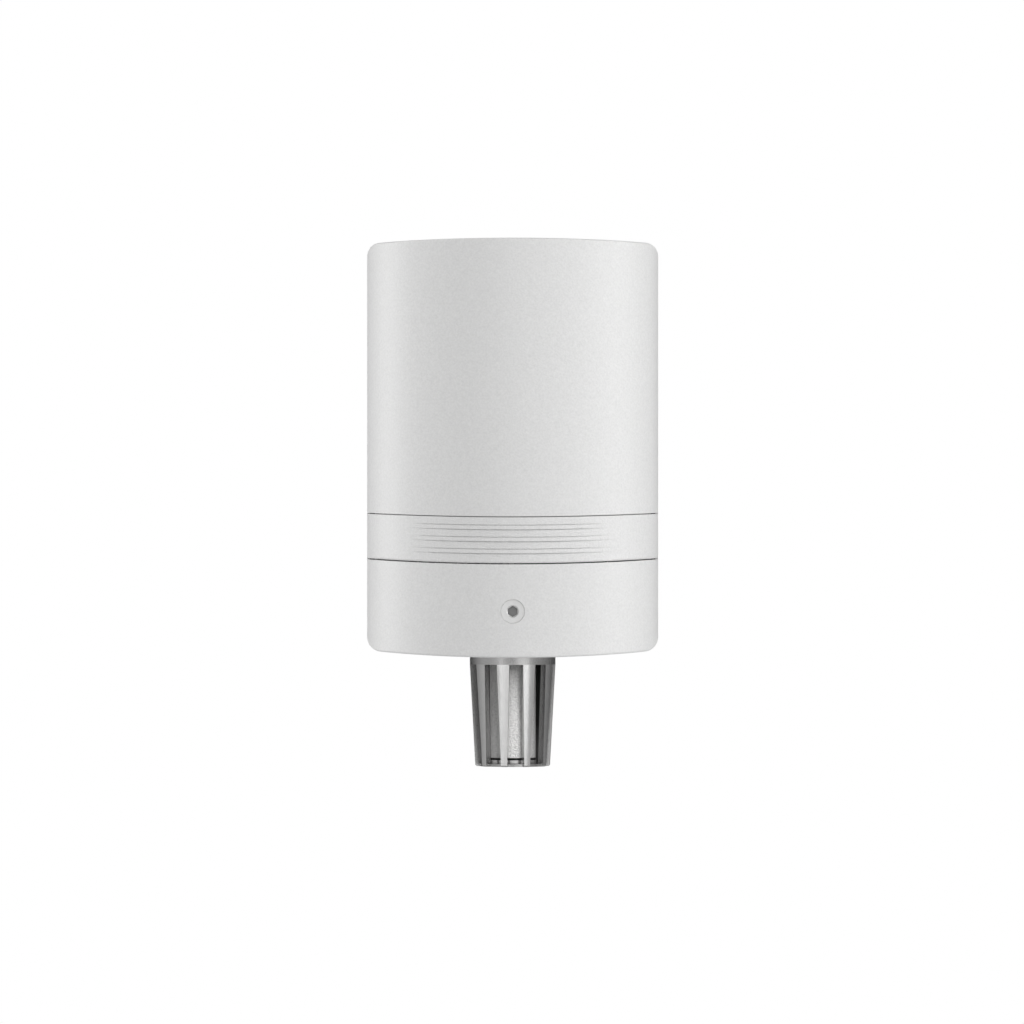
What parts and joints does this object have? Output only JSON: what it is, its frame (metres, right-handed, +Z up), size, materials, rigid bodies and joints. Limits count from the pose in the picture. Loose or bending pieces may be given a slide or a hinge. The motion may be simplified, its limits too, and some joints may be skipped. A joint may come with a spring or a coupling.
{
  "type": "air sensor head",
  "caption": "Wall-mounted air sensor head: moulded housing with hinged hood, ribbed band and screwed cover, and a slotted metal cage round a porous sleeve.",
  "frame": {"origin": "middle of the flat back, on the wall plane, at half the housing's height", "axes": "+Z up, +Y into the wall, so the front faces -Y"},
  "size_m": [0.063, 0.0343, 0.1133],
  "materials": {
    "housing_white": "fine spark texture, signal white",
    "cage_metal": "satin, as turned",
    "sintered": "grainy, porous",
    "screw_coated": "light grey coating",
    "spring_steel": "plated",
    "brass": "machined",
    "black_rubber": "matt",
    "grey_rubber": "matt",
    "board_green": "solder mask",
    "chip_black": "moulded",
    "can_metal": "drawn",
    "led_clear": "clear",
    "terminal_grey": "moulded",
    "switch_red": "moulded",
    "ivory_plastic": "moulded",
    "sensor_white": "ceramic"
  },
  "bodies": {
    "base": {"rear_case": "housing_white", "case_gasket": "grey_rubber", "thread_insert": "brass", "neck_bush": "brass", "neck_seal": "black_rubber", "neck_plug": "chip_black", "sensor_board": "board_green", "humidity_sensor": "sensor_white", "temperature_sensor": "chip_black", "cable_grommet": "black_rubber", "sensor_lead": "grey_rubber", "lead_socket": "ivory_plastic", "main_board": "board_green", "board_screws": "spring_steel", "processor_chip": "chip_black", "regulator": "chip_black", "capacitors": "can_metal", "inductor": "chip_black", "status_led": "led_clear", "terminal_block": "terminal_grey", "terminal_screws": "spring_steel", "dip_switch": "switch_red", "button_housing": "chip_black"},
    "lid": {"upper_cover": "housing_white", "grip_band": "housing_white"},
    "front_cover": {"lower_cover": "housing_white"},
    "screw": {"cover_screw": "screw_coated", "screw_retainer": "spring_steel"},
    "sleeve": {"filter_sleeve": "sintered", "sleeve_seal": "black_rubber"},
    "cage": {"sensor_cage": "cage_metal", "cage_cap": "cage_metal"},
    "slider_1": {"dip_slider_1": "ivory_plastic"},
    "slider_2": {"dip_slider_2": "ivory_plastic"},
    "slider_3": {"dip_slider_3": "ivory_plastic"},
    "slider_4": {"dip_slider_4": "ivory_plastic"},
    "button": {"service_button": "ivory_plastic"}
  },
  "joints": [
    {"name": "lid_tilt", "type": "hinge", "parent": "base", "child": "lid", "pos_m": [0, -0.00915, 0.045], "axis": [-1, 0, 0], "range_deg": [0, 70]},
    {"name": "front_cover_pull", "type": "slide", "parent": "base", "child": "front_cover", "axis": [0, -1, 0], "range_m": [0, 0.03]},
    {"name": "screw_turn", "type": "hinge", "parent": "front_cover", "child": "screw", "pos_m": [0, -0.03, -0.03496], "axis": [0, -1, 0], "continuous": true},
    {"name": "sleeve_drop", "type": "slide", "parent": "base", "child": "sleeve", "axis": [0, 0, -1], "range_m": [0, 0.00352]},
    {"name": "cage_turn", "type": "hinge", "parent": "sleeve", "child": "cage", "pos_m": [0, -0.0191, -0.055], "axis": [0, 0, -1], "range_deg": [0, 1260]},
    {"name": "slider_1_slide", "type": "slide", "parent": "base", "child": "slider_1", "axis": [0, 0, 1], "range_m": [0, 0.002]},
    {"name": "slider_2_slide", "type": "slide", "parent": "base", "child": "slider_2", "axis": [0, 0, 1], "range_m": [0, 0.002]},
    {"name": "slider_3_slide", "type": "slide", "parent": "base", "child": "slider_3", "axis": [0, 0, 1], "range_m": [0, 0.002]},
    {"name": "slider_4_slide", "type": "slide", "parent": "base", "child": "slider_4", "axis": [0, 0, 1], "range_m": [0, 0.002]},
    {"name": "button_press", "type": "slide", "parent": "base", "child": "button", "axis": [0, 1, 0], "range_m": [0, 0.0003], "stiffness_N_per_m": 1000}
  ],
  "couplings": [
    {"joint": "sleeve_drop", "follows": "cage_turn", "m_per_rad": 0.00015915}
  ]
}
